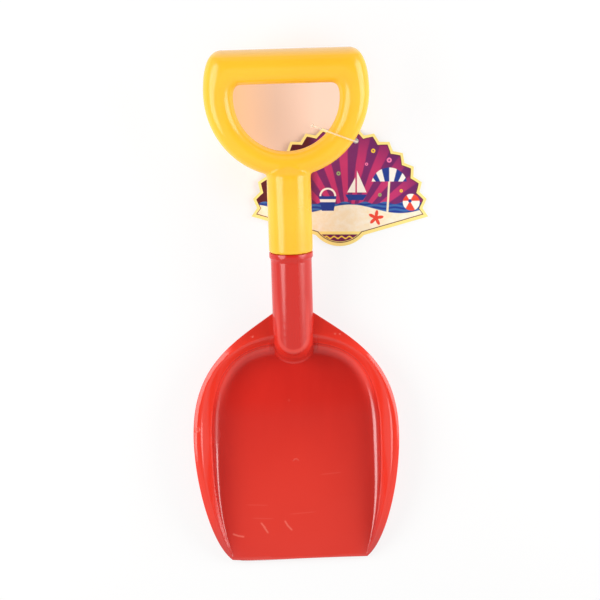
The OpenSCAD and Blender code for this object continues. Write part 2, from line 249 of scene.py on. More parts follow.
class Material(Nodes):
    """A material with one shader, whose sockets are named with low lines for their spaces."""

    def __init__(self, name, colour, roughness, **sockets):
        self.material = bpy.data.materials.new(name)
        self.material.use_nodes = True
        super().__init__(self.material.node_tree)
        self.shader = self.nodes["Principled BSDF"]
        self.put("Base Color", (*colour, 1))
        self.put("Roughness", roughness)
        for socket, value in sockets.items():
            self.put(socket.replace("_", " "), value)

    def put(self, socket, value):
        self.fill(self.shader.inputs[socket], value)


class Drawing:
    """Flat shapes in one plane of a piece, in millimetres. A shape is how deep a point lies inside it."""

    def __init__(self, material, centre=(0, 0), turn=0):
        self.material = material
        x, y, self.z = (v * (1 / MM) for v in material.parts(material.place()))
        x, y, c, s = x - centre[0], y - centre[1], math.cos(turn), math.sin(turn)
        self.p, self.q = x * c + y * s, y * c - x * s

    def far(self, p, q):
        return ((self.p - p) ** 2 + (self.q - q) ** 2).root()

    def disc(self, p, q, r):
        return r - self.far(p, q)

    def edge(self, start, end):
        """Everything on the left of the way from start to end."""
        (p1, q1), (p2, q2) = start, end
        length = math.hypot(p2 - p1, q2 - q1)
        across, along = (q2 - q1) / length, (p2 - p1) / length
        return self.q * along - self.p * across - (q1 * along - p1 * across)

    def corners(self, *points):
        """A shape with straight sides that go round against the clock."""
        sides = (self.edge(start, end) for start, end in zip(points, points[1:] + points[:1]))
        return reduce(Value.least, sides)

    def stroke(self, start, end, width):
        """A thin mark that fades at its ends."""
        (p1, q1), (p2, q2) = start, end
        half = math.hypot(p2 - p1, q2 - q1) / 2
        along = (Vector(end) - Vector(start)).normalized()
        p, q = self.p - (p1 + p2) / 2, self.q - (q1 + q2) / 2
        lengthwise, across = abs(p * along.x + q * along.y), abs(q * along.x - p * along.y)
        return self.mask(width - across, width) * self.material.remap(lengthwise, half, half * 0.6)

    def mask(self, shape, soft=0.15):
        return self.material.remap(shape, -soft, soft)


# Meshes


def linked(name, data):
    """An object in the scene that shows some data."""
    made = bpy.data.objects.new(name, data)
    bpy.context.scene.collection.objects.link(made)
    return made


def mesh_from(bm, name):
    """The bmesh as a mesh. The bmesh is freed."""
    mesh = bpy.data.meshes.new(name)
    bm.to_mesh(mesh)
    bm.free()
    return mesh


def finished(bm, name, material, body, node, angle=None):
    """The bmesh as a piece that rides on a body, takes its finish from a slot and stands for a node."""
    mesh = mesh_from(bm, name)
    for face in mesh.polygons:
        face.use_smooth = True
    if angle is not None:
        mesh.set_sharp_from_angle(angle=math.radians(angle))
    piece = linked(name, mesh)
    mesh.materials.append(material.material)
    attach(piece, body)
    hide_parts(node)
    return piece


def with_modifiers(shape):
    """An object's shape after its modifiers, as a bmesh."""
    depsgraph = bpy.context.evaluated_depsgraph_get()
    bm = bmesh.new()
    bm.from_mesh(bpy.data.meshes.new_from_object(shape.evaluated_get(depsgraph)))
    return bm


def sweep(rows, bm=None, line=None):
    """Extrudes a row of points from each row to the next. It starts new, or from a line of vertices."""
    if bm is None:
        bm = bmesh.new()
        line = [bm.verts.new(Vector(p) * MM) for p in rows[0]]
        rows = rows[1:]
    first = line
    edges = [bm.edges.get(pair) or bm.edges.new(pair) for pair in zip(line, line[1:])]
    for row in rows:
        made = bmesh.ops.extrude_edge_only(bm, edges=edges)["geom"]
        new = {v for v in made if isinstance(v, bmesh.types.BMVert)}
        line = [next(e.other_vert(v) for e in v.link_edges if e.other_vert(v) in new) for v in line]
        for v, p in zip(line, row):
            v.co = Vector(p) * MM
        edges = [bm.edges.get(pair) for pair in zip(line, line[1:])]
    return bm, first, line


def turned(profile, steps=96, looped=False):
    """A closed shape turned about +Z from (radius, height) points. A looped profile closes on itself, and
    any other starts and ends on the axis."""
    bm = bmesh.new()
    line = [bm.verts.new((r * MM, 0, z * MM)) for r, z in profile]
    following = line[1:] + line[:1] if looped else line[1:]
    whole = line + [bm.edges.new(pair) for pair in zip(line, following)]
    centre, axis = (0, 0, 0), (0, 0, 1)
    bmesh.ops.spin(bm, geom=whole, cent=centre, axis=axis, angle=FULL_TURN, steps=steps, use_merge=True)
    close_up(bm)
    return bm


def close_up(bm, distance=1e-7):
    """Merges what coincides, fills the open loops and turns the faces outwards."""
    bmesh.ops.remove_doubles(bm, verts=bm.verts, dist=distance)
    bmesh.ops.holes_fill(bm, edges=[e for e in bm.edges if e.is_boundary])
    bmesh.ops.recalc_face_normals(bm, faces=bm.faces)


def soften(bm, rounds, chosen=lambda co: True):
    """Smooths the vertices in the chosen places a number of times."""
    verts = [v for v in bm.verts if chosen(v.co)]
    for _ in range(rounds):
        bmesh.ops.smooth_vert(bm, verts=verts, factor=0.5, use_axis_x=True, use_axis_y=True, use_axis_z=True)


def remeshed(bm, voxel, rounds):
    """The union of the bmesh's closed shapes as one even skin, with its corners softened."""
    rough = linked("rough", mesh_from(bm, "rough"))
    remesh = rough.modifiers.new("skin", "REMESH")
    remesh.mode, remesh.voxel_size = "VOXEL", voxel * MM
    skin = with_modifiers(rough)
    bpy.data.objects.remove(rough)
    soften(skin, rounds)
    return skin


def boolean(base, other, operation):
    """The exact boolean of two bmeshes."""
    base, other = [linked("shape", mesh_from(shape, "shape")) for shape in (base, other)]
    cut = base.modifiers.new("cut", "BOOLEAN")
    cut.operation, cut.object, cut.solver = operation, other, "EXACT"
    result = with_modifiers(base)
    for shape in (base, other):
        bpy.data.objects.remove(shape)
    return result


def joined(*shapes):
    """Several bmeshes in one."""
    whole = bmesh.new()
    for shape in shapes:
        mesh = mesh_from(shape, "shape")
        whole.from_mesh(mesh)
        bpy.data.meshes.remove(mesh)
    return whole


def block(size, middle):
    """A straight block."""
    bm = bmesh.new()
    bmesh.ops.create_cube(bm, size=1)
    place = Matrix.Translation([m * MM for m in middle])
    bm.transform(place @ Matrix.Diagonal((*(s * MM for s in size), 1)))
    return bm


# The blade's lines. Each starts in from the tip's corner by a share of the side's width, then has its insets
# at the side and the back, the shares of its four curve handles, and its turns at the tip and the back

OUTER = (0, 0, 0, (0.217, 0.376, 0.604, 0.60), (46.9, 37.3))
RIDGE = (0.04, RIM_BAND, SHOULDER_RUN, (0.30, 0.439, 0.777, 0.12), (24, 0))
CREASE_SIDE, CREASE_BACK = RIM_BAND + FLANGE_RUN, SHOULDER_RUN + BACK_FLANGE_RUN
CREASE = (0.08, CREASE_SIDE, CREASE_BACK, (0.41, 0.32, 0.559, 0.496), (19.9, 0))
FLOOR = (0.14, CREASE_SIDE + WALL_RUN, CREASE_BACK + WALL_RUN, *CREASE[3:])
LINES = (OUTER, RIDGE, CREASE, FLOOR)
CORNER_HEIGHTS = (RIM_H - RIM_DROP, RIM_H, CREASE_H, FLOOR_T)

# How far the section's corners are rounded and in how many steps, over the top and back under it, and the
# most that a rounding takes of the way to the next corner
TOP_REACHES, TOP_STEPS = (1.6, 3.6, 1.1), (14, 4, 6, 3)
UNDER_REACHES, UNDER_STEPS = (0.9, 1.4, 2.6, 4), (3, 3, 4, 6)
ROUND_SHARE, FILLET_SHARE = 0.48, 0.8
STATIONS, TIP_STEPS = 88, 40


def growth(u):
    """The side's share of its full height: none at the tip corner, all of it from the side on."""
    return math.sin(math.pi / 2 * u) if u < 1 else 1


def corner_point(i, u):
    """A corner of the blade's section, at u from 0 at the tip's corner by 1 at the side to 2 at the back."""
    tip_share, side_inset, back_inset, shares, angles = LINES[i]
    tip = Vector((TIP_W / 2 - tip_share * (CREASE_SIDE + WALL_RUN), -TIP_TO_SIDE))
    side = Vector((BLADE_W / 2 - side_inset, 0))
    back = Vector((0, SIDE_TO_APEX - back_inset))
    start, end = (math.radians(a) for a in angles)
    if u < 1:
        lead = shares[0] * TIP_TO_SIDE * Vector((math.sin(start), math.cos(start)))
        p = bezier((tip, tip + lead, side - Vector((0, shares[1] * TIP_TO_SIDE)), side), u)
    else:
        lead = shares[3] * BLADE_W / 2 * Vector((math.cos(end), -math.sin(end)))
        p = bezier((side, side + Vector((0, shares[2] * SIDE_TO_APEX)), back + lead, back), u - 1)
    return Vector((p.x, p.y, FLOOR_T + (CORNER_HEIGHTS[i] - FLOOR_T) * growth(u)))


def strip_normal(i, u):
    """The upward normal of the strip between a corner of the section and the next."""
    along = corner_point(i + 1, min(u + 0.01, 2)) - corner_point(i + 1, max(u - 0.01, 0))
    n = along.cross(corner_point(i, u) - corner_point(i + 1, u)).normalized()
    return -n if n.z < 0 else n


def towards(corner, other, reach, share):
    """The point at a reach from a corner on the way to another, or at a share of that way if it is short."""
    way = other - corner
    return corner + way * min(share, reach / max(way.length, 1e-6))


def rounded(corners, reaches, steps, first_share=ROUND_SHARE):
    """A line through corners, each rounded over its reach on both sides, except the two ends."""
    points = [corners[0]]
    for i, (reach, count) in enumerate(zip(reaches, steps)):
        before, corner, after = corners[i : i + 3]
        start = towards(corner, before, reach, ROUND_SHARE if i else first_share)
        end = towards(corner, after, reach, ROUND_SHARE)
        for v in (step / count for step in range(count + 1)):
            points.append(start.lerp(corner, v).lerp(corner.lerp(end, v), v))
    return points + [corners[-1]]


def blade_section(u):
    """The blade's skin at a station, from the floor over the rim and back under it to the ground."""
    g = growth(u)
    t = FLOOR_T + (WALL_T - FLOOR_T) * g
    outer, ridge, crease, foot = (corner_point(i, u) for i in range(4))
    band_up, flange_up, wall_up = (strip_normal(i, u) for i in range(3))
    inwards = foot - crease
    inwards.z = 0
    leg = inwards.normalized() * FLOOR_LEG
    fillet = FILLET_TIP - (FILLET_TIP - FILLET_SIDE) * g - (FILLET_SIDE - FILLET_BACK) * ramp(u, 1.1, 1.6)
    wall = crease - foot
    run = Vector((wall.x, wall.y)).length
    out = (t * wall.length - FLOOR_T * run) / wall.z if wall.z > 1e-6 else 0
    heel = Vector((foot.x + out * wall.x / run, foot.y + out * wall.y / run, 0))
    under_outer = outer - t * band_up
    under_ridge = ridge - t * (band_up + flange_up) / (1 + band_up.dot(flange_up))
    under_crease = crease - t * (flange_up + wall_up) / (1 + flange_up.dot(wall_up))
    lip = (outer + under_outer) / 2
    over = [foot + leg, foot, crease, ridge, outer, lip]
    under = [lip, under_outer, under_ridge, under_crease, heel, heel + leg]
    skin = rounded(over, (fillet, *TOP_REACHES), TOP_STEPS, FILLET_SHARE)
    return skin + rounded(under, UNDER_REACHES, UNDER_STEPS)[1:]


def tip_bow(share):
    """How far the tip's edge stands out at a share of its half width: most towards the left corner."""
    return max(0, 1 - abs(share) ** 8) * (1 - 0.95 * eased(ramp(share, -0.6, 0.7)))


def wear_tip(bm):
    """Bows the tip's edge and its foot outwards, and rounds the edge's top."""

    def at_tip(v):
        return v.co.y < (TOUCH - TIP_TO_SIDE) * MM

    def on_top(v):
        return v.co.z > (FLOOR_T - TOUCH) * MM

    long = [e for e in bm.edges if all(at_tip(v) for v in e.verts) and e.calc_length() > LONG_EDGE * MM]
    bmesh.ops.subdivide_edges(bm, edges=long, cuts=LONG_EDGE_CUTS)
    for v in bm.verts:
        if at_tip(v):
            foot = TIP_BEVEL * (1 - min(1, v.co.z / (FLOOR_T * MM)))
            v.co.y -= (TIP_BULGE + foot) * tip_bow(v.co.x / (TIP_W / 2 * MM)) * MM
    rim = [e for e in bm.edges if all(at_tip(v) and on_top(v) for v in e.verts)]
    bmesh.ops.bevel(
        bm,
        geom=rim,
        offset=TIP_ROUND * MM,
        offset_type="OFFSET",
        segments=3,
        profile=0.5,
        affect="EDGES",
        material=-1,
    )


def blade_shell(material):
    """The dish: its skin from tip corner to tip corner, the tip's edge between them, and the flat floor."""
    right = [blade_section(2 * i / STATIONS) for i in range(STATIONS + 1)]
    bm, first, last = sweep(right + mirrored(right[:-1]))
    bm.faces.new(first)
    bm.faces.new(last)
    top, low = right[0][0], right[0][-1]
    across = [top.x * (1 - 2 * i / TIP_STEPS) for i in range(1, TIP_STEPS + 1)]
    sweep([[(x, top.y, FLOOR_T), (x, low.y, 0)] for x in across], bm, [first[0], first[-1]])
    close_up(bm, 1e-6)
    wear_tip(bm)

    # A cut keeps the worn edge out of the floor's two large faces
    cut = (0, (FLOOR_CUT - TIP_TO_SIDE) * MM, 0)
    for floor in [f for f in bm.faces if len(f.verts) > MANY_CORNERS]:
        whole = [floor, *floor.edges, *floor.verts]
        bmesh.ops.bisect_plane(bm, geom=whole, dist=1e-7, plane_co=cut, plane_no=(0, 1, 0))
    return finished(bm, "blade_shell", material, "shovel", "scoop", angle=40)


# The socket. The nose's rings have a radius, a height and a shift back: the foot's heights are over the
# floor, and the wall's over the tube's top line. Its front is softened in steps, each nearer to the front's
# upper edge: how far it reaches back, its lowest height and its number of rounds. The web under the tube
# starts inside the floor and leans back with the wall behind it

NOSE_FOOT = [(19.2, -1.2, 0), (17.9, 0.1, 0), (16.9, 0.5, 0), (16.1, 1.4, 0), (15.6, 2.8, 0.2)]
NOSE_FOOT += [(15.2, 5, 0.6)]
NOSE_WALL = [(14.8, -13, 1.7), (14, -6, 2.7), (13.2, 0, 3.6), (12.6, 12, 4.4)]
NOSE_SOFTENING = [(18, 4, 12), (13, 8, 24), (8, 12, 30), (3, 16, 36)]
WEB_FOOT, WEB_LEAN, WEB_TOP_LEAN = 1.6, 1.4, 2.7


def socket_collar(material):
    """The collar round the socket's mouth, with its step down to the tube."""
    low, foot = -COLLAR_L, -COLLAR_L - COLLAR_STEP
    bore = [(0, -COLLAR_DEPTH), (BORE_R, -COLLAR_DEPTH), (BORE_R, -0.25), (BORE_R + 0.3, 0)]
    band = [(COLLAR_R - 0.5, 0), (COLLAR_R - 0.15, -0.12), (COLLAR_R, -0.5), (COLLAR_R, low + 0.4)]
    step = [(15.92, low), (15.6, low - 0.5), (15.25, low - 1.1), (15.06, low - 1.8), (TUBE_R + 0.01, foot)]
    collar = turned(bore + band + step + [(TUBE_R - 0.3, foot - 0.8), (0, foot - 0.8)])
    collar.transform(SHAFT)
    return finished(collar, "socket_collar", material, "shovel", "scoop", angle=35)


def web_in_front():
    """What fills the space between the tube and the dish's floor, in front of the back wall."""
    front, back = NOSE_Y - NOSE_BACK, SIDE_TO_APEX - CREASE_BACK
    top = back + WEB_TOP_LEAN
    line = [(front, WEB_FOOT), (back, WEB_FOOT), (back + WEB_LEAN, CREASE_H)]
    line += [(top, shaft_height(top)), (front, shaft_height(front))]
    bm = bmesh.new()
    side = bm.faces.new([bm.verts.new((-TUBE_R * MM, y * MM, z * MM)) for y, z in line])
    made = bmesh.ops.extrude_face_region(bm, geom=[side])["geom"]
    far_side = [v for v in made if isinstance(v, bmesh.types.BMVert)]
    bmesh.ops.translate(bm, verts=far_side, vec=(2 * TUBE_R * MM, 0, 0))
    bmesh.ops.recalc_face_normals(bm, faces=bm.faces)
    return bm


def nose_envelope(levels, count=24):
    """The nose's outside: U-shaped rings from the floor up, each with its radius, height and centre."""
    back, half_w = NOSE_Y + NOSE_BACK, NOSE_BACK_HALF_W
    rows = []
    for r, z, centre in levels:
        ring = [Vector((half_w, back, z))]
        for a in (-math.pi * i / count for i in range(count + 1)):
            ring.append(Vector((r * math.cos(a), centre + r * math.sin(a), z)))
        rows.append(ring + [Vector((-half_w, back, z)), Vector((half_w, back, z))])
    bm = sweep(rows)[0]
    close_up(bm)
    return bm


def socket_tube(material):
    """The tube and the upright nose that it ends in, one skin with a rounded top edge and a flared foot."""
    top = shaft_height(NOSE_Y) + TUBE_R
    levels = [(r, FLOOR_T + over, NOSE_Y + shift) for r, over, shift in NOSE_FOOT]
    levels += [(r, top + over, NOSE_Y + shift) for r, over, shift in NOSE_WALL]
    reach = MOUTH_Y - NOSE_Y + 2 * NOSE_R
    tube = turned([(0, -reach), (TUBE_R, -reach), (TUBE_R, -TUBE_TOP), (0, -TUBE_TOP)])
    tube.transform(SHAFT)
    behind_nose = block(size=(60, 120, 100), middle=(0, NOSE_Y + 90, 30))
    envelope = boolean(nose_envelope(levels), behind_nose, "UNION")
    solid = boolean(boolean(tube, web_in_front(), "UNION"), envelope, "INTERSECT")
    bm = remeshed(solid, voxel=0.5, rounds=8)
    soften(bm, 14, lambda co: co.y < (NOSE_Y - 2) * MM and co.z < 10 * MM)
    for reach_y, low, rounds in NOSE_SOFTENING:
        soften(bm, rounds, lambda co: co.y < (NOSE_Y + reach_y) * MM and co.z > low * MM)
    return finished(bm, "socket_tube", material, "shovel", "scoop")


# The D-grip: an outer and an inner outline in the plane of the shaft, with an oval between each pair of
# points. The stem's profile has a radius and a height over the socket's mouth, and its end is inside the D

STEM_PROFILE = [(0, 0.1), (15.5, 0.1), (15.88, 0.25), (16.05, 0.7), (16.05, 55.6), (15.8, 57), (15, 58.4)]
STEM_PROFILE += [(13.6, 60.2), (12, 62), (10.3, 63.8), (8.2, 65.6), (5, 67.4), (0, 68.5)]
FLAT_STEPS, CORNER_STEPS, BOW_STEPS, OVAL_STEPS = 14, 22, 44, 32


def outline(top, bottom, side, flat_half, side_y, corner):
    """Half of an outline, from the top's middle round the right side to the bottom's middle."""
    points = [Vector((flat_half * i / FLAT_STEPS, top)) for i in range(FLAT_STEPS)]
    start, end = Vector((flat_half, top)), Vector((side, side_y))
    bend = (start, start + Vector((corner[0], 0)), end + Vector((0, corner[1])), end)
    points += [bezier(bend, i / CORNER_STEPS) for i in range(CORNER_STEPS)]
    for a in (math.pi / 2 * i / BOW_STEPS for i in range(BOW_STEPS + 1)):
        points.append(Vector((side * math.cos(a), side_y - (side_y - bottom) * math.sin(a))))
    return points


def grip(material):
    """The D and the stem, as one skin with soft corners."""
    bar = D_CENTRE + BAR_RISE
    outer = outline(bar + 12.5, 54.9, side=59.7, flat_half=45.5, side_y=D_CENTRE + 2, corner=(10.5, 17))
    inner = outline(bar - 12.6, 73.7, side=38.1, flat_half=32, side_y=D_CENTRE - 1.5, corner=(4.4, 6.2))
    rows = []
    for o, i in zip(outer, inner):
        centre, across = (o + i) / 2, (o - i) / 2
        height = LIMB_R + (BAR_R - LIMB_R) * eased(ramp(centre.y, D_CENTRE - 10, bar))
        angles = round_angles(OVAL_STEPS)
        rows.append([on_shaft(*(centre + across * math.cos(a)), height * math.sin(a)) for a in angles])
    ring = sweep(rows + mirrored(rows[1:-1]) + [rows[0]])[0]
    close_up(ring)
    stem = turned(STEM_PROFILE)
    stem.transform(SHAFT)
    bm = remeshed(joined(ring, stem), voxel=0.7, rounds=8)
    low, high = on_shaft(0, 46, 0).y * MM, on_shaft(0, 76, 0).y * MM
    soften(bm, 10, lambda co: low < co.y < high and abs(co.x) < 30 * MM)
    return finished(bm, "grip_skin", material, "shovel", "grip_handle")


# The loop that the card hangs on: one strand from its head round to the barb that sits in the head. Its
# joint is on the limb's middle, and its plane is turned over the ground and leans. Its sides are unevenly
# far from the joint, and its top clears the limb by a small gap

LOOP_TURN, LOOP_LEAN = math.radians(-21.7), math.radians(6.3)
SWING = next(joint for joint in frame["joints"] if joint["name"] == "loop_swing")
LOOP = Matrix.Translation(SWING["pos_m"])
LOOP = LOOP @ Matrix.Rotation(LOOP_TURN, 4, "Z") @ Matrix.Rotation(LOOP_LEAN, 4, "X")
LOOP_W, LOOP_SHIFT_SHARE, LOOP_DROP = 34, 0.138, 49.42
STRAND_R, REST_GAP, LIMB_CLEAR_SHARE = 0.6, 0.3, 1.02
LOOP_LEFT = -LOOP_W / 2 - LOOP_SHIFT_SHARE * LOOP_W
LOOP_RIGHT, LOOP_BOTTOM = LOOP_LEFT + LOOP_W, -LOOP_DROP
LOOP_TOP = LIMB_CLEAR_SHARE * LIMB_R + REST_GAP + STRAND_R
TOP_BEND_R, FOOT_BEND_R, BEND_STEPS, LOCK_Z, LOCK_L = 11, 4, 12, -3, 6
BARB_PROFILE = [(0, -1), (0.84, -1), (0.84, -0.8), (0.3, 1), (0, 1)]
LOCK_PROFILE = [(0.9, 0), (1.2, 0), (1.42, 0.1), (1.5, 0.4), (1.5, 4.9), (1.3, 5.6), (0.9, 5.95), (0, LOCK_L)]
LOCK_PROFILE += [(0, 4.6), (0.7, 4.6), (0.9, 4.4)]


def loop_path():
    """The strand's middle line in the loop's plane, with the direction of travel at each point."""
    corners = [
        (LOOP_LEFT + TOP_BEND_R, LOOP_TOP - TOP_BEND_R, TOP_BEND_R, 180),
        (LOOP_RIGHT - TOP_BEND_R, LOOP_TOP - TOP_BEND_R, TOP_BEND_R, 90),
        (LOOP_RIGHT - FOOT_BEND_R, LOOP_BOTTOM + FOOT_BEND_R, FOOT_BEND_R, 0),
        (LOOP_LEFT + FOOT_BEND_R, LOOP_BOTTOM + FOOT_BEND_R, FOOT_BEND_R, -90),
    ]
    path = [(LOOP_LEFT, LOCK_Z + LOCK_L - 0.6, 0, 1)]
    for x, z, r, start in corners:
        for i in range(BEND_STEPS + 1):
            a = math.radians(start - 90 * i / BEND_STEPS)
            path.append((x + r * math.cos(a), z + r * math.sin(a), math.sin(a), -math.cos(a)))
    return path + [(LOOP_LEFT, LOCK_Z + 1, 0, 1), (LOOP_LEFT, LOCK_Z + LOCK_L / 2, 0, 1)]


def tag_strand(material):
    """The strand with its head and barb, closed into a loop."""
    rows = []
    for x, z, along_x, along_z in loop_path():
        row = []
        for a in round_angles(BEND_STEPS):
            aside = STRAND_R * math.cos(a)
            row.append((x - aside * along_z, STRAND_R * math.sin(a), z + aside * along_x))
        rows.append(row)
    strand = sweep(rows)[0]
    close_up(strand)
    barb = turned(BARB_PROFILE, steps=24)
    barb.transform(Matrix.Translation((LOOP_LEFT * MM, 0, (LOCK_Z + LOCK_L / 2) * MM)))
    lock = turned(LOCK_PROFILE, steps=32, looped=True)
    lock.transform(Matrix.Translation((LOOP_LEFT * MM, 0, LOCK_Z * MM)))
    whole = joined(strand, barb, lock)
    whole.transform(LOOP)
    return finished(whole, "tag_strand", material, "loop", "tag_loop", angle=40)


# The red moulding's colours, with lit and shaded copies of it painted by place, and the places of its marks
# in millimetres

RED, DEEP_RED, BRIGHT_RED = (0.68, 0.02, 0.012), (0.60, 0.0165, 0.0095), (0.67, 0.0205, 0.0115)
FLOOR_GLOW_RED, LIT_RIM_RED, SHADED_SHOULDER_RED = (0.76, 0.034, 0.017), (0.87, 0.040, 0.020), (0.64, 0.026, 0.014)
BACK_WALL_SHEEN_RED, NOSE_SHADE_RED, TUBE_SHADE_RED = (0.92, 0.062, 0.042), (0.70, 0.026, 0.014), (0.61, 0.015, 0.007)
LIP_HIGHLIGHT_RED, WORN_AND_GLINT_RED = (0.86, 0.085, 0.062), (0.90, 0.17, 0.12)
SCRATCHES = [((-50.2, -73.2), (-44.2, -75.6)), ((-47.4, -74.6), (-40.6, -76))]
SCRATCHES += [((-28.8, -65.2), (-24.6, -70.6)), ((-27.2, -67.4), (-22.8, -74.2))]
SCRATCHES += [((-10.8, -64.2), (-7.8, -69.6)), ((-9.6, -67.2), (-4.8, -72.4))]
FAINT_SCRATCHES = [((-40, -52), (-22, -52.8)), ((-8, -60), (14, -58.6))]
FAINT_SCRATCHES += [((-36, -62), (-18, -63)), ((16, -31), (34, -29.6))]
GATE, FLOOR_SPOT, FLANGE_RING = (-0.9, -20.4), (-4.8, 25.5), (-73, 6.7)
PIPS = [(-29.8, 74, 1.1), (30.5, 74.4, 1), (34, 74.1, 0.9)]


def scratches(d):
    """Short scratches by the tip, and fainter ones across the floor."""
    clear = reduce(Value.most, (d.stroke(*ends, 0.55) for ends in SCRATCHES))
    faint = reduce(Value.most, (d.stroke(*ends, 0.35) for ends in FAINT_SCRATCHES))
    return clear.most(faint * 0.25)


def mould_marks(m, d):
    """The gate's arc with the spot behind it, the ring on the flange, and the pips on the shoulders."""
    arc = m.remap(abs(d.far(*GATE) - 1.9), 0.7, 0.1) * m.remap(d.q, GATE[1], GATE[1] + 0.8)
    gate = arc.most(m.remap(d.far(*FLOOR_SPOT), 1.3, 0.3) * 0.4)
    ring = m.remap(abs(d.far(*FLANGE_RING) - 1.7), 0.6, 0.1) * m.remap(d.z, 20, 22)
    pips = reduce(Value.most, (m.remap(d.far(x, y), r, r * 0.3, smooth=True) for x, y, r in PIPS))
    return gate, ring, pips


def red_plastic():
    """Glossy red moulding: painted light and shade by place, faint waves, the marks of its mould with painted
    glints, and its scratches.
    """
    m = Material("red plastic", RED, 0.13, Specular_IOR_Level=0.6, Coat_Roughness=0.08)
    d = Drawing(m)
    beside = abs(d.p)

    # Where the painted light and shade lie, from a painted glow through the thin floor to a painted highlight
    # along the tube and round the nose's front
    # A painted glow: the floor is lighter round a point near the tip, as light shining up through the thin
    # plastic
    floor_glow = m.remap(d.far(-2, -62), 110, 15, smooth=True) * m.remap(beside, 62, 40, smooth=True)
    # Painted light and shade: the colour grows lighter with height towards the rims, and is painted darker on
    # the shoulders at the back
    shaded_shoulder = m.remap(d.q, 62, 76) * m.remap(d.z, 17, 20)
    # A painted reflection: the back wall is lighter, as if a bright light in front shines in it
    behind = m.remap(d.q, 15, 45, smooth=True) * m.remap(beside, 17, 19, 0.3, 1)
    back_wall_sheen = behind * m.remap(d.z, 3.5, 4.6) * m.remap(d.z, 17.5, 15.5)
    # Painted shade: the nose and the tube's top are kept darker than the painted light that the rims take at
    # their height
    nose = m.remap(beside, 18.5, 17) * m.remap(d.q, 48, 50) * m.remap(d.z, 3.6, 4.6) * m.remap(d.z, 30, 26)
    # A painted highlight: a paler line along the tube's sides and round the top edge of the nose's front
    lip_y = NOSE_Y + 3
    off_lip_axis = m.remap(d.q, lip_y - 1, lip_y + 1) * beside
    off_lip_axis += m.remap(d.q, lip_y + 1, lip_y - 1) * d.far(0, lip_y)
    lip = m.remap(abs(off_lip_axis - 10.8), 2, 0.6, smooth=True)
    lip *= m.remap(d.q, 105, 78) * m.remap(d.z, 20, 24)
    by_shaft = m.remap(beside, 17.5, 16.5)
    colour = m.paint(
        m.mix(m.remap(m.flow((34, 9, 34)), 0.35, 0.65), DEEP_RED, BRIGHT_RED),
        (floor_glow * m.remap(d.z, 8, 4), FLOOR_GLOW_RED),
        (m.remap(d.z, 7, 17, smooth=True), m.mix(shaded_shoulder, LIT_RIM_RED, SHADED_SHOULDER_RED)),
        (back_wall_sheen, BACK_WALL_SHEEN_RED),
        (nose * 0.65, NOSE_SHADE_RED),
        (by_shaft * m.remap(d.z, 26, 30), TUBE_SHADE_RED),
        (lip * 0.55, LIP_HIGHLIGHT_RED),
    )

    # The marks, on the upper side only: the scratches paler as wear, and the mould's marks paler as painted
    # glints on their bumps
    on_floor = m.remap(d.z, 6, 4.5) * m.remap(d.z, 1, 2)
    scuffs = scratches(d) * on_floor
    gate, ring, pips = mould_marks(m, d)
    gate *= on_floor
    marks_and_glints = scuffs.most(gate * 0.35).most((ring * 0.7).most(pips * 0.6))
    m.put("Base Color", m.mix(marks_and_glints * 0.7, colour, WORN_AND_GLINT_RED))

    # Duller on the tube, in the fillet on the left side and on the nose's front
    tube = by_shaft * m.remap(d.z, 24, 28)
    dull = m.remap(d.p, -52, -60, smooth=True) * m.remap(d.q, -14, 0, smooth=True) * m.remap(d.z, 10, 8)
    rubbed = tube * (0.03 + m.remap(d.p, 2, 6) * 0.14) + dull * 0.2 + nose * m.remap(d.q, 75, 72) * 0.22
    m.put("Roughness", 0.11 + m.mottle(160) * 0.05 + rubbed + scuffs * 0.25)
    m.put("Coat Weight", m.remap(d.z, 15, 9) * m.remap(d.z, 1, 2) * m.remap(d.q, 26, 12) * (1 - dull))
    m.put("Normal", m.bump(m.noise(26, 1) + (gate + ring + pips) * 0.9, 0.35, 0.0006))
    return m


YELLOW, DEEP_YELLOW, BRIGHT_YELLOW = (0.98, 0.56, 0.03), (0.95, 0.495, 0.022), (0.99, 0.54, 0.029)
LIT_BAR_EDGE_YELLOW, SHADED_UNDER_YELLOW = (1.0, 0.64, 0.30), (0.99, 0.47, 0.09)


def yellow_plastic():
    """Glossy yellow moulding with faint waves, a painted highlight along the bar's far edge and painted
    shade, darker and warmer, on its underside.
    """
    m = Material("yellow plastic", YELLOW, 0.17, Specular_IOR_Level=0.5)
    d = Drawing(m)
    c, s = math.cos(SHAFT_ANGLE), math.sin(SHAFT_ANGLE)
    over_axis = (d.z - MOUTH_Z) * c - (d.q - MOUTH_Y) * s
    along = (d.q - MOUTH_Y) * c + (d.z - MOUTH_Z) * s
    # Painted light: paler along the bar's far edge; painted shade: darker and warmer under the shaft's axis
    colour = m.paint(
        m.mix(m.remap(m.flow((12, 30, 12)), 0.3, 0.7), DEEP_YELLOW, BRIGHT_YELLOW),
        (m.remap(along, 142, 146) * 0.75, LIT_BAR_EDGE_YELLOW),
        (m.remap(over_axis, 1, -7, smooth=True) * 0.7, SHADED_UNDER_YELLOW),
    )
    m.put("Base Color", colour)
    rubbed = m.remap(d.q, 176, 150) * m.remap(d.p, 2, 6) * 0.2
    m.put("Roughness", 0.16 + m.mottle(140) * 0.06 + rubbed)
    m.put("Normal", m.bump(m.noise(30, 1), 0.3, 0.0005))
    return m


def clear_plastic():
    """The strand's see-through plastic."""
    m = Material("clear strand", (1.0, 0.90, 0.72), 0.24, Specular_IOR_Level=0.6)
    m.put("Alpha", m.mottle(90, 1, 0.2, 0.34))
    return m


# The card's place on the ground, how far it is turned, and its printed shades

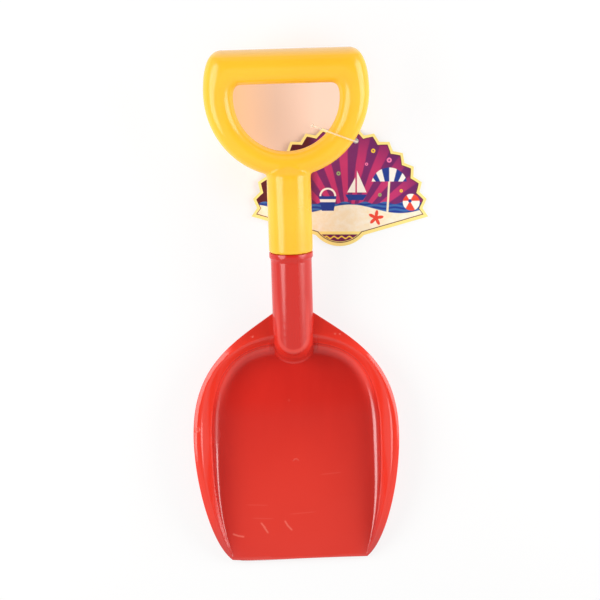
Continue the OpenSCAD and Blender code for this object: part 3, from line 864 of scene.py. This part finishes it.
CARD_CENTRE, CARD_TURN = (37.249, 162.86), math.radians(-1.7)
CREAM, DARK, PURPLE, MAGENTA = (1.0, 0.82, 0.28), (0.10, 0.008, 0.03), (0.20, 0.025, 0.15), (0.58, 0.04, 0.17)
SAND, BLUE, WHITE, POPPY = (0.97, 0.83, 0.58), (0.02, 0.05, 0.30), (0.98, 0.94, 0.86), (0.85, 0.07, 0.04)
PALE_SAND, SEA_BLUE, PINK = (1.0, 0.92, 0.76), (0.05, 0.16, 0.45), (0.95, 0.22, 0.45)
ORANGE, LEAF, WAVE_GOLD = (0.98, 0.65, 0.05), (0.34, 0.46, 0.18), (0.98, 0.65, 0.08)
OUTER_PLUM, LEFT_PLUM, BOWL_PLUM = (0.13, 0.017, 0.12), (0.10, 0.012, 0.02), (0.17, 0.018, 0.08)
BOARD, PALE_BOARD = (0.60, 0.57, 0.52), (0.68, 0.65, 0.60)
RINGS = [(37, 41, 1.9, PINK), (25, 48, 1.6, ORANGE), (30, 15, 1.3, LEAF)]
RINGS += [(20, 38, 1.2, PINK), (46, 18, 1.2, ORANGE), (-1, 31, 1.5, LEAF)]
CARD_UNDER_Z = 1.64


def card_inside(d):
    """How deep a point lies inside the card: its toothed fan with the lobe at its foot."""
    angle = d.q.turn_from(d.p)
    tooth = abs((angle + math.radians(1)) / (math.radians(182) / TAG_TEETH) % 1 - 0.5) * 2
    fan = TAG_R - TOOTH_DEPTH + tooth * TOOTH_DEPTH - d.far(0, 0)
    feet = d.edge((-TAG_R, -1.2), (-18, -15.1)).least(d.edge((18, -15.1), (TAG_R, -1.2)))
    return fan.least(feet.most(d.disc(0, 0.27, 23.67)))


def card_field(m, d):
    """Rays from the foot of the card, darker outwards and to the left."""
    ray = (d.q + 12).turn_from(d.p - 6)
    rays = m.remap((ray * 26).sine() + m.noise(60, 1) * 0.6, 0.1, 0.5)
    return m.paint(
        m.mix(rays, MAGENTA, PURPLE),
        (m.remap(d.far(8, 6), 30, 62, smooth=True) * 0.85, OUTER_PLUM),
        (m.remap(d.p, -16, -24), LEFT_PLUM),
    )


def card_beach(m, d, colour):
    """A plain beach: sea, boat, parasol, dune, pail, ball, starfish and small rings."""
    swell = (d.p * 0.42).sine()
    sea = 9 + swell * 0.9 - d.q
    dune = 4.5 + (d.p * 0.085 + 0.9).sine() * 3.2 - d.q
    pail = d.corners((-13.5, 3), (-4.5, 3), (-2.5, 14), (-15.5, 14))
    handle = 0.7 - abs(d.far(-9, 14) - 5.6)
    hull = d.corners((6.5, 11), (17.5, 11), (20.5, 15.2), (4, 15.2))
    sail = d.corners((12.8, 16.8), (20, 16.8), (12.8, 33))
    jib = d.corners((5.5, 16.8), (11.6, 16.8), (11.6, 28))
    canopy = d.disc(37, 22, 13.5).least(d.q - 25)
    gore = ((d.p - 37) / (d.q - 11) * 13).sine()
    pole = 0.75 - abs(d.p - 37 - (d.q - 25) * 0.06)
    ball, sector = d.disc(53.5, 9.5, 6.3), ((d.q - 10.5).turn_from(d.p - 52.5) * 3).sine()
    arms = (d.q + 2.2).turn_from(d.p - 27)
    starfish = 3.9 + (arms * 5 + 0.8).sine() * 1.9 - d.far(27, -2.2)
    return m.paint(
        colour,
        (d.mask(sea), m.mix(d.mask((d.q * 2.1 + swell).sine(), 0.5), BLUE, SEA_BLUE)),
        (d.mask(sail.most(jib)), WHITE),
        (d.mask(hull), BLUE),
        (d.mask(pole.least(25.5 - d.q)), SAND),
        (d.mask(canopy), m.mix(d.mask(gore, 0.2), BLUE, WHITE)),
        (d.mask(dune), m.mix(m.remap(m.noise(260), 0.35, 0.7), SAND, PALE_SAND)),
        (d.mask(handle.least(d.q - 13.5)), WHITE),
        (d.mask(pail), m.mix(d.mask(1.1 - abs(d.q - 10.6)), BLUE, WHITE)),
        (d.mask(ball), m.mix(d.mask(sector, 0.2), WHITE, POPPY)),
        (d.mask(ball.least(1.3 - d.far(52.5, 10.5))), BLUE),
        (d.mask(starfish, 0.25), POPPY),
        *((d.mask(d.disc(x, y, r).least(d.far(x, y) - 0.35 * r)), shade) for x, y, r, shade in RINGS),
    )


def printed_card():
    """Printed board: rays and a plain beach, a plum bowl with a wave line on the lobe, and a cream border."""
    m = Material("printed card", CREAM, 0.32, Specular_IOR_Level=0.45)
    d = Drawing(m, CARD_CENTRE, CARD_TURN)
    inside = card_inside(d)
    bowl = d.disc(0, 0.27, 20.2).least(-14.6 - d.q)
    wave = 0.55 - abs(d.q + 16.9 - (d.p * 1.1).sine() * 0.75)
    under = m.remap(d.z, CARD_UNDER_Z + 0.08, CARD_UNDER_Z - 0.08)
    board = m.mix(m.remap(m.noise(700, 3), 0.3, 0.7), BOARD, PALE_BOARD)
    colour = m.paint(
        card_beach(m, d, card_field(m, d)),
        (d.mask(-12.4 - d.q), CREAM),
        (d.mask(bowl), BOWL_PLUM),
        (d.mask(wave.least(bowl)), WAVE_GOLD),
        (d.mask(3.1 - inside), DARK),
        (d.mask(2.5 - inside), CREAM),
        (under, board),
    )
    m.put("Base Color", colour)
    m.put("Roughness", 0.3 + m.mottle(220) * 0.08 + under * 0.35)
    m.put("Normal", m.bump(m.noise(45, 1), 0.3, 0.0006))
    return m


# The table, the lamps, the room and the camera

TABLE_R, TABLE_Y, TABLE_DROP = 1300, 100, 0.3
TABLE_WHITE, LEFT_GLOW = (0.93, 0.92, 0.91), (0.87, 0.49, 0.215)
MIDDLE_GLOW, RIGHT_GLOW = (0.80, 0.53, 0.37), (0.94, 0.68, 0.53)
CAMERA_MM, CAMERA_X, CAMERA_Y, CAMERA_H, CAMERA_TURN = 100, 5.6, 100, 1250, -1.67


def table_top():
    """White, and lit for the camera and the gloss, but with the shovel's own soft shadow near it. Inside the
    D it is warm, as the yellow plastic shines on it there."""
    bm = bmesh.new()
    bmesh.ops.create_circle(bm, cap_ends=True, segments=96, radius=TABLE_R * MM)
    bmesh.ops.translate(bm, verts=bm.verts, vec=(0, TABLE_Y * MM, -TABLE_DROP * MM))
    table = linked("table", mesh_from(bm, "table"))
    m = Material("white table", TABLE_WHITE, 0.7, Specular_IOR_Level=0.2)
    d = Drawing(m)
    right = m.mix(m.remap(d.p, -8, 22), MIDDLE_GLOW, RIGHT_GLOW)
    warm = m.mix(m.remap(d.p, -38, -8), LEFT_GLOW, right)
    in_grip = m.remap(d.far(0, 248), 57, 44) * m.remap(d.q, 284, 272)
    m.put("Base Color", m.mix(in_grip, TABLE_WHITE, warm))
    seen = m.ray("Camera").most(m.ray("Glossy")).most(m.ray("Transmission"))
    near = m.remap(d.far(0, 235), 45, 90, 0.12, 0.78, smooth=True)
    glow = m.node("ShaderNodeEmission", None, {"Color": (1, 1, 1, 1), "Strength": 1})
    shown = m.node("ShaderNodeMixShader", None, {0: seen * near, 1: Value(m, m.shader.outputs[0]), 2: glow})
    m.fill(m.nodes["Material Output"].inputs["Surface"], shown)
    table.data.materials.append(m.material)


def lamp(name, tilt, aim_y, power, width, length, reach=0.7):
    """An oval softbox over one side, tilted from straight above and level with a point along the shovel. Its
    lengths are in metres, as lamps have them."""
    data = bpy.data.lights.new(name, "AREA")
    data.shape, data.size, data.size_y, data.energy = "ELLIPSE", width, length, power
    made = linked(name, data)
    a = math.radians(tilt)
    made.location = (reach * math.sin(a), aim_y, reach * math.cos(a))
    made.rotation_euler = (0, a, 0)


def white_room():
    """White for the camera. As light it is brighter low down, in front and at the back, and dim overhead."""
    world = bpy.data.worlds.new("white room")
    bpy.context.scene.world = world
    world.use_nodes = True
    n = Nodes(world.node_tree)
    _, y, z = n.parts(n.node("ShaderNodeTexCoord", output="Generated"))
    low = n.remap(z, 0.15, 0.88, 0.95, 0.12, smooth=True)
    front = n.remap(y, -0.4, -0.04, 0.7, 0.12, smooth=True)
    back = n.remap(y, 0.4, 0.8, 0.12, 0.8, smooth=True)
    bright = low.most(front).most(back)
    mirrored_bright = n.blend(n.ray("Glossy"), bright, bright * n.remap(z, 0.05, 0.4, 0.6, 1))
    background = n.nodes["Background"].inputs
    n.fill(background["Color"], (1, 1, 1, 1))
    n.fill(background["Strength"], n.blend(n.ray("Camera"), mirrored_bright, 1))


def camera_above():
    """Straight over the shovel with a long lens, and turned a little."""
    camera = linked("camera", bpy.data.cameras.new("camera"))
    camera.data.lens, camera.data.sensor_width = CAMERA_MM, 36
    camera.data.clip_start, camera.data.clip_end = 0.01, 50
    camera.location = (CAMERA_X * MM, CAMERA_Y * MM, CAMERA_H * MM)
    camera.rotation_euler = (0, 0, math.radians(CAMERA_TURN))
    bpy.context.scene.camera = camera


red = red_plastic()
blade_shell(red)
socket_tube(red)
socket_collar(red)
grip(yellow_plastic())
tag_strand(clear_plastic())
card = frame["nodes"]["hang_tag"]
card.data.materials.clear()
card.data.materials.append(printed_card().material)

table_top()
lamp("left softbox", tilt=-48, aim_y=0.17, power=3.3, width=0.5, length=0.68)
lamp("right softbox", tilt=61, aim_y=0.21, power=3.2, width=0.48, length=0.66)
white_room()
camera_above()
bpy.context.scene.view_settings.view_transform = "Standard"
